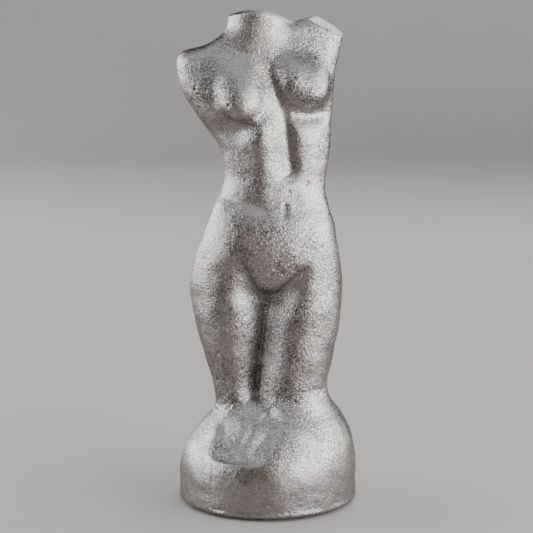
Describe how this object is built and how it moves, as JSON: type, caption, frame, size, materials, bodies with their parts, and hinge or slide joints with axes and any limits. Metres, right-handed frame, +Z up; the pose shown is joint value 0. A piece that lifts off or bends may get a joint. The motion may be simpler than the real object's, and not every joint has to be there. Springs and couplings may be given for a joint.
{
  "type": "torso statuette",
  "caption": "Small cast-metal figure without head or arms, cut off above the knees, standing on a lopsided domed base with a cloth-covered underside.",
  "frame": {"origin": "centre of the cloth disc's underside, on the surface that the statuette stands on", "axes": "+Z up along the figure, -Y the way the figure faces, +X to the right of someone who looks at its front"},
  "size_m": [0.07, 0.07, 0.192],
  "materials": {
    "cast_figure": "sand-cast, grainy, with worn high spots",
    "cast_base": "sand-cast dome, drum filed smooth and brushed",
    "joint_filler": "rough bead, bright on its lumps",
    "zinc_steel": "zinc plated",
    "cloth": "dark pressed felt"
  },
  "bodies": {
    "root": {"torso_casting": "cast_figure", "domed_base": "cast_base", "joint_bead": "joint_filler", "fixing_screw": "zinc_steel", "washer": "zinc_steel", "cloth_disc": "cloth"}
  },
  "joints": []
}
